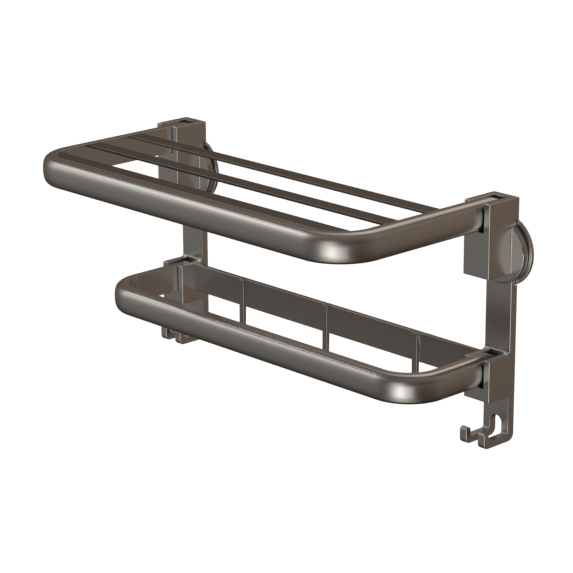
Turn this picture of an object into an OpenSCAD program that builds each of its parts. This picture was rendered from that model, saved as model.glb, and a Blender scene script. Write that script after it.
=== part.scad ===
// Two tier wall towel rack: a fold-up shelf of three slats over a hinged towel bar,
// both carried by two cast end brackets with a hook rail between them.
// X runs along the rack, Y = 0 is the wall with +Y going into it, Z is up.
// The origin is on the wall, midway between the centres of the two wall discs.
// All sizes are in millimetres.

/* [Rack] */
// Distance between the centre lines of the two brackets
bracket_span = 410; // [330:1:600]
// Distance from the wall to the front of the shelf
shelf_depth = 213; // [190:1:260]
// Distance from the wall to the front of the towel bar
bar_depth = 128.5; // [115:0.5:150]
// Distance from the top of the upper socket down to the top of the lower one
tier_drop = 144; // [140:1:170]

/* [Bracket] */
// Width of a bracket along the rack
bracket_w = 30; // [28:0.5:40]
// Thickness of the upright between the sockets
upright_t = 8; // [7:0.5:9]
// Distance from the disc centre up to the top of the upper socket
socket_rise = 50; // [42:1:60]
// Height of the upper socket
upper_socket_h = 68; // [60:1:76]
// Distance from the wall to the front of the upper socket
upper_socket_d = 39; // [34:0.5:48]
// Height of the lower socket
lower_socket_h = 39; // [34:0.5:46]
// Distance from the wall to the front of the lower socket
lower_socket_d = 35; // [33:0.5:44]
// Radius of the hollow fillet above the lower socket
socket_fillet = 3; // [1:0.5:6]

/* [Prongs] */
// Distance from the top of the lower socket down to the underside of the prongs
prong_drop = 82; // [74:1:100]
// Width of one prong along the rack
prong_w = 8.5; // [7:0.5:10]
// Thickness of the prong under its mouth
prong_t = 6.5; // [5:0.5:9]
// Distance from the wall to the front of the prongs
prong_reach = 39.5; // [32:0.5:50]
// Height of the prong tip above its underside
prong_tip_h = 15.5; // [12:0.5:20]
// Thickness of the prong tip
prong_tip_t = 6; // [4:0.5:7]
// Height of the arched gap between the legs
fork_h = 22; // [18:1:30]

/* [Rails] */
// Height of the rail section
rail_h = 26.5; // [22:0.5:27]
// Width of the flat part of the section
rail_flat = 6.5; // [6:0.25:7]
// How far the full outer face stands out from the flat part
rail_bulge = 8; // [6:0.25:8.5]
// Wall of the hollow rail
rail_wall = 1.6; // [1.2:0.1:1.8]
// Plan radius of the shelf's corners at the edge of the flat part
shelf_corner_r = 40; // [30:1:55]
// Plan radius of the towel bar's corners at the edge of the flat part
bar_corner_r = 36; // [26:1:48]

/* [Slats] */
// Width of a slat
slat_w = 16; // [10:0.5:20]
// Thickness of a slat
slat_t = 2.5; // [2:0.25:4]
// Distance from one slat to the next
slat_pitch = 52; // [30:1:54]
// Gap between the front slat and the rail
slat_front_gap = 3; // [1:0.5:6]
// How far the slats lie below the top of the rail
slat_drop = 1; // [0.5:0.25:3]

/* [Hinges] */
// Distance from the top of the rail down to the hinge axis
hinge_drop = 11; // [9.5:0.25:12]
// Radius of a hinge pin
shoulder_r = 3; // [2.5:0.25:3.5]
// Wall of the hinge bush
bush_wall = 1.4; // [1:0.1:1.8]
// Radial running clearance between pin and bush
hinge_clear = 0.05; // [0.02:0.01:0.1]

/* [Hook rail] */
// Height of the hook rail
hook_rail_h = 28; // [22:1:34]
// Thickness of the hook rail
hook_rail_t = 5; // [4:0.5:6]
// Distance from the wall to the front of the hook rail
hook_rail_y = 18.6; // [17:0.1:20]
// Number of hooks
hook_count = 3; // [1:1:5]
// Distance from one hook to the next
hook_pitch = 117; // [60:1:120]
// Width of a hook along the rack
hook_w = 6.5; // [5:0.5:10]
// How far a hook's shank stands proud of the hook rail
hook_t = 3.5; // [3:0.25:5]
// Distance from the underside of the hook rail down to the underside of a hook
hook_drop = 23; // [18:1:28]
// Distance from the front of the hook rail to the front of a hook
hook_reach = 24; // [18:1:30]

/* [Wall discs] */
// Radius of the wall disc
disc_r = 33; // [31:0.5:38]
// Radius of the boss on the bracket that covers the wall disc
boss_r = 29.5; // [28:0.5:30]
// Distance from the wall to the front of the boss
boss_y = 10; // [9:0.5:12]
// Distance from the wall to the front of the wall disc's flange
flange_y = 3.2; // [2.6:0.1:3.4]
// Thickness of the pad behind the wall disc
pad_t = 0.8; // [0.5:0.1:1.2]
// Radius of the wall screw's hole in the wall disc
wall_hole_r = 2.6; // [2:0.1:3]

/* [Hidden] */
$fn = 64;

eps = 0.01;
gunmetal = [0.42, 0.39, 0.37];
dark_plastic = [0.13, 0.12, 0.12];
steel = [0.62, 0.61, 0.60];

// Clearances
seat = 0.25;          // between a tongue and the inner cheek
floor_gap = 0.2;      // between a rail and the floor of its slot
sweep_gap = 1;        // between the end of a turning tongue and the slot's back
outer_gap = 0.75;     // between a rail's bulge line and the outer cheek
fit_gap = 0.1;        // between a tenon, plug or pad and its hole
slat_fit = 0.02;      // between a slat's end and its slot in the rail
thread_fit = 0.04;    // between a screw's thread and its hole
groove = 0.8;         // between the boss and the wall disc's flange

// Heights
upper_top = socket_rise;
lower_top = upper_top - tier_drop;
frame_bottom = lower_top - prong_drop;
hook_rail_bottom = lower_top - hook_rail_h;

// Rail section, measured outwards from its inner face
rail_w = rail_flat + rail_bulge;
slot_w = rail_w + seat + outer_gap;
rail_x = bracket_span / 2 - slot_w / 2 + seat;
cap_len = 20;

// Hinge: the tongue's end is rounded about the axis, just clear of the slot's back
hinge_y = upright_t + sweep_gap + hinge_drop;
tongue_low_r = rail_h - hinge_drop;
plug_len = 34;
bush_r = shoulder_r + hinge_clear + bush_wall;
bush_len = 4.6;
pin_end_gap = 0.2;    // between a pin's tip and the bottom of the bush's pocket

// Wall disc and boss
spigot_r = 20;
spigot_y = 8.4;
spigot_end_gap = 0.3;
boss_back = flange_y + groove;
back_clear = 0.4;     // round the flange, where the upright makes way for it
edge = 0.6;
boss_bevel = 1.2;
head_pocket_r = 5.2;
head_pocket_t = 3.6;
pad_hole_r = 8;
pad_rim = 2;          // width of the wall disc's rim round the pad
grub_r = 2;
grub_y = (boss_back + spigot_y) / 2;
grub_inset = 1.5;
hex_r = 1.1;
hex_depth = 2.5;

// Castings
prong_rear_r = 7;
prong_front_r = 5;
mouth_r = 2;
hollow_wall = 5;
hook_arm_t = 3.5;
hook_tip_h = 12;
hook_tip_t = 3.5;
hook_r = 3;
tenon_len = 3;
tenon_h = 9;
tenon_shoulder = 0.75;
tenon_t = hook_rail_t - 2 * tenon_shoulder;
tenon_rise = 2;
tenon_end_gap = 0.2;

// Slats' ends
slat_shoulder = 0.5;  // step from the slat's top down to its tenon
slat_side = 1;        // step from the slat's edge in to its tenon

// ---------- helpers ----------

// Everything on the right is drawn with its centre line on X = 0 and its
// outer side towards +X, then set out to one side or the other.
module on_side(side) {
    mirror([side < 0 ? 1 : 0, 0, 0])
        translate([bracket_span / 2, 0, 0])
            children();
}

module both_sides() {
    for (side = [-1, 1])
        on_side(side)
            children();
}

// A solid of the given Y-Z outline between two X positions
module along_x(x0, x1) {
    translate([x0, 0, 0])
        rotate([90, 0, 90])
            linear_extrude(height = x1 - x0)
                children();
}

// A disc on a Y axis between two distances from the wall, with a bevelled front edge
module disc_y(r, y0, y1, bevel = 0) {
    rotate([90, 0, 0]) {
        translate([0, 0, y0])
            cylinder(r = r, h = y1 - y0 - bevel);
        if (bevel > 0)
            translate([0, 0, y1 - bevel])
                cylinder(r1 = r, r2 = r - bevel, h = bevel);
    }
}

// A rod on an X axis between two X positions
module rod_x(r, x0, x1) {
    translate([x0, 0, 0])
        rotate([0, 90, 0])
            cylinder(r = r, h = x1 - x0);
}

// A quarter disc whose round corner points towards (sx, sy) from its centre
module quarter(r, sx, sy) {
    intersection() {
        circle(r = r);
        translate([sx > 0 ? 0 : -r, sy > 0 ? 0 : -r])
            square([r, r]);
    }
}

// The fill of an inside corner at the origin, which opens towards (sx, sy)
module inside_fillet(r, sx, sy) {
    difference() {
        translate([sx > 0 ? -eps : -r, sy > 0 ? -eps : -r])
            square([r + eps, r + eps]);
        translate([sx * r, sy * r])
            circle(r = r);
    }
}

// ---------- bracket ----------

// Side outline of a J: a leg, an arm forward under it and an upturned round tip.
// The leg's back is at y_back, the arm's underside is at z_low.
module j_outline(y_back, leg_t, z_top, z_low, arm_t, reach, tip_h, tip_t, rear_r, front_r) {
    y_tip = -reach;
    y_leg = y_back - leg_t;
    tip_r = tip_t / 2;
    // leg down to the rounded rear corner
    translate([y_leg, z_low + rear_r])
        square([leg_t, z_top - z_low - rear_r]);
    translate([y_back - rear_r, z_low + rear_r])
        quarter(rear_r, 1, -1);
    // arm
    translate([y_tip + front_r, z_low])
        square([reach + y_back - front_r - rear_r, arm_t]);
    translate([y_leg, z_low])
        square([leg_t - rear_r, rear_r]);
    // rounded front corner and tip
    translate([y_tip + front_r, z_low + front_r])
        quarter(front_r, -1, -1);
    translate([y_tip, z_low + front_r])
        square([tip_t, tip_h - front_r - tip_r]);
    translate([y_tip + tip_r, z_low + tip_h - tip_r])
        circle(r = tip_r);
    // inside corners of the mouth
    translate([y_leg, z_low + arm_t])
        inside_fillet(mouth_r, -1, 1);
    translate([y_tip + tip_t, z_low + arm_t])
        inside_fillet(mouth_r, 1, 1);
}

module socket_block(z_top, h, d) {
    translate([-bracket_w / 2, -d, z_top - h])
        cube([bracket_w, d, h]);
}

module socket_slot(z_top, d) {
    translate([-slot_w / 2, -d - 1, z_top - rail_h - floor_gap])
        cube([slot_w, d + 1 - upright_t, rail_h + floor_gap + 1]);
}

// Pocket in the inner cheek for the bush of a hinge pin
module bush_pocket(z_top) {
    translate([0, -hinge_y, z_top - hinge_drop])
        rod_x(bush_r, -slot_w / 2 - bush_len, -slot_w / 2 + 1);
}

// Arched gap that parts the foot of the upright into two prongs
module fork_gap() {
    gap_r = bracket_w / 2 - prong_w;
    z_arch = frame_bottom + fork_h - gap_r;
    translate([0, 1, z_arch])
        rotate([90, 0, 0])
            cylinder(r = gap_r, h = prong_reach + 2);
    translate([-gap_r, -prong_reach - 1, frame_bottom - 1])
        cube([2 * gap_r, prong_reach + 2, z_arch - frame_bottom + 1]);
}

// Pocket for the end tenon of the hook rail, in the inner face of the lower socket
module tenon(gap, len) {
    y_front = hook_rail_y - tenon_shoulder + gap;
    translate([-bracket_w / 2 - eps, -y_front, hook_rail_bottom + tenon_rise - gap])
        cube([len, tenon_t + 2 * gap, tenon_h + 2 * gap]);
}

// Hollow of the upper socket behind the wall disc
module socket_hollow() {
    z_low = upper_top - upper_socket_h + hollow_wall;
    z_high = upper_top - rail_h - floor_gap - hollow_wall;
    translate([-bracket_w / 2 + hollow_wall, -upper_socket_d + hollow_wall, z_low])
        cube([bracket_w - 2 * hollow_wall, upper_socket_d - hollow_wall - boss_back, z_high - z_low]);
}

module bracket() {
    difference() {
        union() {
            socket_block(upper_top, upper_socket_h, upper_socket_d);
            socket_block(lower_top, lower_socket_h, lower_socket_d);
            // upright and prongs in one outline
            along_x(-bracket_w / 2, bracket_w / 2)
                j_outline(0, upright_t, upper_top - upper_socket_h + 1, frame_bottom,
                          prong_t, prong_reach, prong_tip_h, prong_tip_t,
                          prong_rear_r, prong_front_r);
            along_x(-bracket_w / 2, bracket_w / 2)
                translate([-upright_t, lower_top])
                    inside_fillet(socket_fillet, -1, 1);
            disc_y(boss_r, boss_back, boss_y, boss_bevel);
        }
        socket_slot(upper_top, upper_socket_d);
        socket_slot(lower_top, lower_socket_d);
        bush_pocket(upper_top);
        bush_pocket(lower_top);
        fork_gap();
        disc_y(disc_r + back_clear, -1, boss_back);
        disc_y(spigot_r + fit_gap, 0, spigot_y + spigot_end_gap);
        socket_hollow();
        tenon(fit_gap, tenon_len + tenon_end_gap);
        translate([0, -grub_y, 0])
            rod_x(grub_r + thread_fit, -boss_r - 1, -spigot_r + 1);
    }
}

// ---------- wall fixing ----------

// Ring at the back of the wall disc, for the pad or for its recess
module pad_ring(gap, y_back) {
    difference() {
        disc_y(disc_r - pad_rim + gap, y_back, pad_t);
        disc_y(pad_hole_r - gap, y_back - 1, pad_t + 1);
    }
}

module wall_disc() {
    difference() {
        union() {
            disc_y(disc_r, 0, flange_y, edge);
            disc_y(spigot_r, 0, spigot_y);
        }
        pad_ring(fit_gap, -1);
        disc_y(wall_hole_r, -1, spigot_y + 1);
        disc_y(head_pocket_r, spigot_y - head_pocket_t, spigot_y + 1);
    }
}

module wall_pad() {
    pad_ring(0, 0);
}

// Grub screw that clamps the boss to the spigot, reached from the rack's inner side
module grub_screw() {
    x_out = -boss_r + grub_inset;
    translate([0, -grub_y, 0])
        difference() {
            rod_x(grub_r, x_out, -spigot_r);
            translate([x_out - 1, 0, 0])
                rotate([0, 90, 0])
                    cylinder(r = hex_r, h = hex_depth + 1, $fn = 6);
        }
}

// ---------- hook rail ----------

module hook() {
    along_x(-hook_w / 2, hook_w / 2)
        j_outline(-hook_rail_y, hook_t, lower_top, hook_rail_bottom - hook_drop,
                  hook_arm_t, hook_rail_y + hook_reach, hook_tip_h, hook_tip_t,
                  hook_r, hook_r);
}

module hook_rail() {
    half = bracket_span / 2 - bracket_w / 2;
    translate([-half, -hook_rail_y, hook_rail_bottom])
        cube([2 * half, hook_rail_t, hook_rail_h]);
    for (side = [-1, 1])
        on_side(side)
            tenon(0, tenon_len);
    for (i = [0 : hook_count - 1])
        translate([(i - (hook_count - 1) / 2) * hook_pitch, 0, 0])
            hook();
}

// ---------- rails ----------

// Plan of all that lies inside a rail's inner face moved outwards by u
module inside_plan(depth, corner_r, u) {
    x = rail_x + u;
    y = depth - rail_w + u;
    r = corner_r - rail_flat + u;
    translate([-x, -y + r])
        square([2 * x, y - r]);
    translate([-x + r, -y])
        square([2 * (x - r), y]);
    for (side = [-1, 1])
        translate([side * (x - r), -y + r])
            circle(r = r);
}

// A wall that follows the rail in plan, from u0 to u1, hanging down from z_top
module plan_wall(depth, corner_r, u0, u1, z_top, h) {
    translate([0, 0, z_top - h])
        linear_extrude(height = h)
            difference() {
                inside_plan(depth, corner_r, u1);
                inside_plan(depth, corner_r, u0);
            }
}

// Section of the full outer face, less a wall of thickness w all round: its corners
// have the radius rail_bulge, so they start where the flat part ends
module bulge_section(w) {
    r = rail_bulge - w;
    if (w == 0)
        translate([rail_flat - 0.5, -rail_h])
            square([0.5, rail_h]);
    translate([rail_flat, -rail_bulge])
        quarter(r, 1, 1);
    translate([rail_flat, rail_bulge - rail_h])
        square([r, rail_h - 2 * rail_bulge]);
    translate([rail_flat, rail_bulge - rail_h])
        quarter(r, 1, -1);
}

// The same section led along one arm, round a corner and over half of the front
module bulge_half(depth, corner_r, z_top, w, y_end) {
    r = corner_r - rail_flat;
    x_c = rail_x - r;
    y_c = depth - rail_w - r;
    translate([rail_x, -y_end, z_top])
        rotate([90, 0, 0])
            linear_extrude(height = y_c - y_end)
                bulge_section(w);
    translate([x_c, -y_c, z_top])
        rotate([0, 0, -90])
            rotate_extrude(angle = 90)
                translate([r, 0])
                    bulge_section(w);
    translate([x_c, -y_c - r, z_top])
        rotate([0, 0, -90])
            rotate([90, 0, 0])
                linear_extrude(height = x_c)
                    bulge_section(w);
}

module bulge(depth, corner_r, z_top, w, y_end) {
    for (side = [0, 1])
        mirror([side, 0, 0])
            bulge_half(depth, corner_r, z_top, w, y_end);
}

// Side outline of a rail: straight to the hinge axis, then rounded about it so that
// the end turns clear of the slot's back and floor
module tongue_outline(depth, z_top) {
    translate([-depth, z_top - rail_h])
        square([depth - hinge_y, rail_h]);
    translate([-hinge_y, z_top - hinge_drop])
        quarter(hinge_drop, 1, 1);
    intersection() {
        translate([-hinge_y, z_top - hinge_drop])
            quarter(tongue_low_r, 1, -1);
        translate([-hinge_y, z_top - rail_h])
            square([hinge_drop, rail_h]);
    }
}

module tongue_limit(depth, z_top) {
    along_x(-rail_x - rail_w - 1, rail_x + rail_w + 1)
        tongue_outline(depth, z_top);
}

// Hole along the hinge axis, which ends this far outside the rails' inner faces
module hinge_bore(z_top, r, reach) {
    translate([0, -hinge_y, z_top - hinge_drop])
        rod_x(r, -rail_x - reach, rail_x + reach);
}

module rail(depth, corner_r, z_top) {
    y_end = hinge_y - hinge_drop;
    difference() {
        intersection() {
            union() {
                plan_wall(depth, corner_r, 0, rail_flat, z_top, rail_h);
                bulge(depth, corner_r, z_top, 0, y_end);
            }
            tongue_limit(depth, z_top);
        }
        plan_wall(depth, corner_r, rail_wall, rail_flat - rail_wall,
                  z_top - rail_wall, rail_h - 2 * rail_wall);
        bulge(depth, corner_r, z_top, rail_wall, y_end - 1);
        hinge_bore(z_top, shoulder_r + thread_fit, rail_wall + 1);
    }
}

// Rounded plug that fills the open end of the rail's flat chamber
module hinge_plug(depth, corner_r, z_top) {
    difference() {
        intersection() {
            plan_wall(depth, corner_r, rail_wall + fit_gap, rail_flat - rail_wall - fit_gap,
                      z_top - rail_wall - fit_gap, rail_h - 2 * rail_wall - 2 * fit_gap);
            tongue_limit(depth, z_top);
            translate([0, -hinge_y - plug_len, z_top - rail_h])
                cube([rail_x + rail_w, hinge_y + plug_len, rail_h]);
        }
        hinge_bore(z_top, shoulder_r + thread_fit, rail_w);
    }
}

// Bush for a hinge pin, let into the inner cheek and flush with the slot
module hinge_bush(z_top) {
    x_cheek = -slot_w / 2;
    translate([0, -hinge_y, z_top - hinge_drop])
        difference() {
            rod_x(bush_r, x_cheek - bush_len, x_cheek);
            rod_x(shoulder_r + hinge_clear, x_cheek - bush_len - 1, x_cheek + 1);
        }
}

// Sprung hinge pin, carried by the plug and pushed out into the bush
module hinge_pin(z_top) {
    x_in = rail_x - bracket_span / 2;
    translate([0, -hinge_y, z_top - hinge_drop])
        rod_x(shoulder_r, -slot_w / 2 - bush_len + pin_end_gap,
              x_in + rail_flat - rail_wall - fit_gap);
}

// D shaped plug that closes the open end of the bulge's chamber
module end_cap(depth, z_top) {
    intersection() {
        translate([rail_x, 0, z_top])
            rotate([90, 0, 0])
                linear_extrude(height = hinge_y - hinge_drop + cap_len)
                    intersection() {
                        bulge_section(rail_wall + fit_gap);
                        translate([rail_flat + fit_gap, -rail_h])
                            square([rail_w, rail_h]);
                    }
        tongue_limit(depth, z_top);
    }
}

// ---------- slats ----------

// Slats are counted from the front
function slat_front(i) = shelf_depth - rail_w - slat_front_gap - i * slat_pitch;

// A board across the shelf, cut off at the plan line that lies u outside the inner face
module board(y_front, w, z_top, t, u) {
    intersection() {
        translate([-bracket_span, -y_front, z_top - t])
            cube([2 * bracket_span, w, t]);
        translate([0, 0, upper_top - rail_h])
            linear_extrude(height = rail_h)
                inside_plan(shelf_depth, shelf_corner_r, u);
    }
}

// The tenons of a slat, which are let into the rail's inner wall
module slat_tenons(i, gap) {
    board(slat_front(i) - slat_side + gap, slat_w - 2 * slat_side + 2 * gap,
          upper_top - slat_drop - slat_shoulder + gap, slat_t - slat_shoulder + 2 * gap,
          rail_wall);
}

module slat(i) {
    board(slat_front(i), slat_w, upper_top - slat_drop, slat_t, 0);
    slat_tenons(i, 0);
}

// The rails and their plugs and caps are drawn in place, so the left ones are mirrored
module flipped(side) {
    mirror([side < 0 ? 1 : 0, 0, 0])
        children();
}

// ---------- sub-parts ----------

module end_bracket(side) {
    color(gunmetal)
        on_side(side)
            bracket();
}

module fixing_disc(side) {
    color(gunmetal)
        on_side(side)
            wall_disc();
}

module fixing_pad(side) {
    color(dark_plastic)
        on_side(side)
            wall_pad();
}

module disc_grub_screws() {
    color(steel)
        both_sides()
            grub_screw();
}

module hook_bar() {
    color(gunmetal)
        hook_rail();
}

module hinge_pins(z_top) {
    color(steel)
        both_sides()
            hinge_pin(z_top);
}

module hinge_bushes(z_top) {
    color(dark_plastic)
        both_sides()
            hinge_bush(z_top);
}

module shelf_rail() {
    color(gunmetal)
        difference() {
            rail(shelf_depth, shelf_corner_r, upper_top);
            for (i = [0 : 2])
                slat_tenons(i, slat_fit);
        }
}

module shelf_slat(i) {
    color(gunmetal)
        slat(i);
}

module bar_rail() {
    color(gunmetal)
        rail(bar_depth, bar_corner_r, lower_top);
}

module shelf_plug(side) {
    color(dark_plastic)
        flipped(side)
            hinge_plug(shelf_depth, shelf_corner_r, upper_top);
}

module bar_plug(side) {
    color(dark_plastic)
        flipped(side)
            hinge_plug(bar_depth, bar_corner_r, lower_top);
}

module rail_cap(side, depth, z_top) {
    color(dark_plastic)
        flipped(side)
            end_cap(depth, z_top);
}

end_bracket(-1);  // bracket_left
end_bracket(1);  // bracket_right
fixing_disc(-1);  // wall_disc_left
fixing_disc(1);  // wall_disc_right
fixing_pad(-1);  // wall_pad_left
fixing_pad(1);  // wall_pad_right
disc_grub_screws();
hook_bar();  // hook_rail
hinge_pins(upper_top);  // shelf_hinge_pins
hinge_pins(lower_top);  // bar_hinge_pins
shelf_rail();
shelf_slat(0);  // shelf_slat_front
shelf_slat(1);  // shelf_slat_middle
shelf_slat(2);  // shelf_slat_rear
shelf_plug(-1);  // shelf_hinge_plug_left
shelf_plug(1);  // shelf_hinge_plug_right
hinge_bushes(upper_top);  // shelf_hinge_bushes
rail_cap(-1, shelf_depth, upper_top);  // shelf_end_cap_left
rail_cap(1, shelf_depth, upper_top);  // shelf_end_cap_right
bar_rail();
bar_plug(-1);  // bar_hinge_plug_left
bar_plug(1);  // bar_hinge_plug_right
hinge_bushes(lower_top);  // bar_hinge_bushes
rail_cap(-1, bar_depth, lower_top);  // bar_end_cap_left
rail_cap(1, bar_depth, lower_top);  // bar_end_cap_right
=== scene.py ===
# %% [markdown]
# # A two-tier towel rack for the wall
#
# The rack is made of metal with a satin gunmetal coat. Two cast end brackets hang on round
# wall discs. They carry a fold-up shelf, which is a U-shaped hollow rail with three slats,
# and a hinged U-shaped towel bar. A rail with three hooks ties the brackets together.
#
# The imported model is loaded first. It fixes every place and size, so each piece made here
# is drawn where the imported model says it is.

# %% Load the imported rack
import math

import bmesh
import bpy
from mathutils import Matrix, Vector


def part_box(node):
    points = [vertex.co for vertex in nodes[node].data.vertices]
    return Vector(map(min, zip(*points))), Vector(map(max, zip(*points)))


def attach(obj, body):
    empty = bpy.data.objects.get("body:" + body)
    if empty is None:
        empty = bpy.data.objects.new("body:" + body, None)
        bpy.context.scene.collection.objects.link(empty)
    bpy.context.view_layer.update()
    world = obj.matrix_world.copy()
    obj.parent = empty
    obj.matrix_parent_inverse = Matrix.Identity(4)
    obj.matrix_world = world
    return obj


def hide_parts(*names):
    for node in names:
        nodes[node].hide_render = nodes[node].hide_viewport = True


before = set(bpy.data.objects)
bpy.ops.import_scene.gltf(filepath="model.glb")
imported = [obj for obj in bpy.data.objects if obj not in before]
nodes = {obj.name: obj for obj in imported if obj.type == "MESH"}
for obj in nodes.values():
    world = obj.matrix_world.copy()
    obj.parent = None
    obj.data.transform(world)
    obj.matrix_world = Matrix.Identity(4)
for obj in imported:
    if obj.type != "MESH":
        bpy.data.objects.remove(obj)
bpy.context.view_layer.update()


def mm(length):
    """Millimetres as metres."""
    return length / 1000


# %% [markdown]
# ## Camera
#
# The rack is looked at from the right and a little above, with a long lens from about two
# metres, so that its parallel edges stay nearly parallel. The camera is placed by numbers
# for its azimuth, elevation and roll, because a camera aimed by a constraint would put
# the rack in the middle of the view.

# %% Place the camera
CAMERA_AT = (mm(1477.7), mm(-1480.5), mm(565.4))
CAMERA_AZIMUTH = math.radians(46.37)
CAMERA_ELEVATION = math.radians(17.15)
CAMERA_ROLL = math.radians(-0.25)
CAMERA_LENS = 144.06
SENSOR_WIDTH = 36

camera_back = Vector((math.sin(CAMERA_AZIMUTH) * math.cos(CAMERA_ELEVATION),
                      -math.cos(CAMERA_AZIMUTH) * math.cos(CAMERA_ELEVATION),
                      math.sin(CAMERA_ELEVATION)))
level_right = Vector((math.cos(CAMERA_AZIMUTH), math.sin(CAMERA_AZIMUTH), 0))
level_up = camera_back.cross(level_right)
camera_right = math.cos(CAMERA_ROLL) * level_right + math.sin(CAMERA_ROLL) * level_up
camera_up = camera_back.cross(camera_right)

camera = bpy.data.objects.new("camera", bpy.data.cameras.new("camera"))
camera.data.lens = CAMERA_LENS
camera.data.sensor_width = SENSOR_WIDTH
camera.location = CAMERA_AT
camera.rotation_mode = "QUATERNION"
camera_axes = Matrix((camera_right, camera_up, camera_back)).transposed()
camera.rotation_quaternion = camera_axes.to_quaternion()
bpy.context.scene.collection.objects.link(camera)
bpy.context.scene.camera = camera
print("camera at", [round(v, 3) for v in camera.location])

# %% [markdown]
# ## Studio
#
# Satin metal has hardly any colour of its own: it shows what stands round it. So the
# studio matters as much as the finish. A pale floor lies well below the rack. It is kept
# out of the reflections, because it would light the undersides, which are dark on a real
# rack indoors.

# %% Floor
FLOOR_AT = mm(-700)
FLOOR_HALF = 9
FLOOR_GREY = 0.9
FLOOR_GLOW = 0.75
scene = bpy.context.scene
scene.view_settings.view_transform = "Standard"


def link(thing):
    """Puts a new object into the scene."""
    scene.collection.objects.link(thing)
    return thing


floor_mesh = bpy.data.meshes.new("floor")
floor_corners = [(x * FLOOR_HALF, y * FLOOR_HALF, FLOOR_AT)
                 for x, y in ((-1, -1), (1, -1), (1, 1), (-1, 1))]
floor_mesh.from_pydata(floor_corners, [], [(0, 1, 2, 3)])
floor = link(bpy.data.objects.new("floor", floor_mesh))
floor.visible_glossy = False
floor.visible_shadow = False

pale = bpy.data.materials.new("pale_floor")
pale.use_nodes = True
pale_shader = pale.node_tree.nodes["Principled BSDF"]
pale_shader.inputs["Base Color"].default_value = (FLOOR_GREY, FLOOR_GREY, FLOOR_GREY, 1)
pale_shader.inputs["Roughness"].default_value = 0.9
pale_shader.inputs["Emission Color"].default_value = (1, 1, 1, 1)
pale_shader.inputs["Emission Strength"].default_value = FLOOR_GLOW
floor_mesh.materials.append(pale)
print("floor at height", FLOOR_AT)

# %% [markdown]
# The nodes of the air, the finishes and the shapes are all set up in the same way, so one
# helper does it: it sets a node's options, then gives each input its value or its wires.

# %% Node helpers


def set_up(tree, made, inputs, settings):
    """Gives a new node its settings, and each input a value or the sockets that feed it."""
    for name, value in settings.items():
        setattr(made, name, value)
    for name, value in (inputs or {}).items():
        sources = value if isinstance(value, list) else [value]
        if isinstance(sources[0], bpy.types.NodeSocket):
            for source in sources:
                tree.links.new(source, made.inputs[name])
        else:
            made.inputs[name].default_value = value
    return made


def shader_node(tree, kind, inputs=None, **settings):
    """A new node of a material or of the world."""
    return set_up(tree, tree.nodes.new("ShaderNode" + kind), inputs, settings)


def facing(azimuth, elevation):
    """The direction with this azimuth, which turns from -Y towards +X, and elevation."""
    a, e = math.radians(azimuth), math.radians(elevation)
    return Vector((math.sin(a) * math.cos(e), -math.cos(a) * math.cos(e), math.sin(e)))


print("towards the camera", [round(v, 2) for v in facing(46, 17)])

# %% [markdown]
# The air fades with height and is darkest towards the ground. Soft bright patches in it
# stand for large lit panels: they draw the bands along the bars and the glow at the bent
# corners. Lamps could do this too, but a patch in the air has no edge of its own and adds
# no grain to the render. This air lights the rack and shows in it, while a direct look past
# the rack sees plain white.

# %% Air round the rack
# The colours of the fade, from straight down (0) to straight up (1).
STOPS = ((0.0, (0.03, 0.025, 0.02)), (0.30, (0.08, 0.063, 0.052)), (0.42, (0.20, 0.165, 0.14)),
         (0.58, (0.13, 0.095, 0.07)), (0.75, (0.20, 0.165, 0.14)), (1.0, (0.30, 0.28, 0.26)))
# Each patch has an azimuth, an elevation and a half width in degrees, and a colour.
PATCHES = ((22, 6, 12, (1.2, 1.18, 1.15)), (23, -22, 13, (2.3, 2.25, 2.18)),
           (26, -56, 17, (1.1, 1.05, 0.98)), (-54, 24, 17, (1.2, 1.22, 1.23)),
           (-46, -17, 24, (0.16, 0.17, 0.17)), (-150, 42, 12, (1.3, 1.1, 0.95)),
           (134, -17, 24, (0.145, 0.108, 0.08)), (134, 25, 18, (0.22, 0.19, 0.165)))

world = bpy.data.worlds.new("studio")
scene.world = world
world.use_nodes = True
air = world.node_tree
air.nodes.clear()
direction = shader_node(air, "TexCoord").outputs["Generated"]
height = shader_node(air, "SeparateXYZ", {"Vector": direction}).outputs["Z"]
lift = shader_node(air, "MapRange", {"Value": height, "From Min": -1, "From Max": 1})
fade = shader_node(air, "ValToRGB", {"Fac": lift.outputs["Result"]})
fade.color_ramp.elements[0].position, fade.color_ramp.elements[1].position = 0, 1
for place, colour in STOPS[1:-1]:
    fade.color_ramp.elements.new(place)
for stop, (place, colour) in zip(fade.color_ramp.elements, STOPS):
    stop.position = place
    stop.color = (*colour, 1)
total = fade.outputs["Color"]
for azimuth, elevation, half_width, colour in PATCHES:
    towards = shader_node(air, "VectorMath", {0: direction, 1: facing(azimuth, elevation)},
                          operation="DOT_PRODUCT").outputs["Value"]
    front = shader_node(air, "Math", {0: towards, 1: 0.0}, operation="MAXIMUM").outputs[0]
    # With this power, a patch is half as bright at half_width from its middle.
    power = math.log(0.5) / math.log(math.cos(math.radians(half_width)))
    glow = shader_node(air, "Math", {0: front, 1: power}, operation="POWER").outputs[0]
    patch = shader_node(air, "VectorMath", {0: colour, "Scale": glow},
                        operation="SCALE").outputs[0]
    total = shader_node(air, "VectorMath", {0: total, 1: patch}, operation="ADD").outputs[0]
around = shader_node(air, "Background", {"Color": total}).outputs[0]
behind = shader_node(air, "Background", {"Color": (1, 1, 1, 1)}).outputs[0]
seen = shader_node(air, "LightPath").outputs["Is Camera Ray"]
either = shader_node(air, "MixShader", {"Fac": seen, 1: around, 2: behind}).outputs[0]
shader_node(air, "OutputWorld", {"Surface": either})
print("patches of light in the air", len(PATCHES))

# %% [markdown]
# Two weak soft boxes add light with a clear direction: a wide one high on the left, and a
# low one on the right for the undersides of the bent corners.

# %% Soft boxes
RACK_MIDDLE = Vector((0, mm(-100), mm(-60)))


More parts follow.
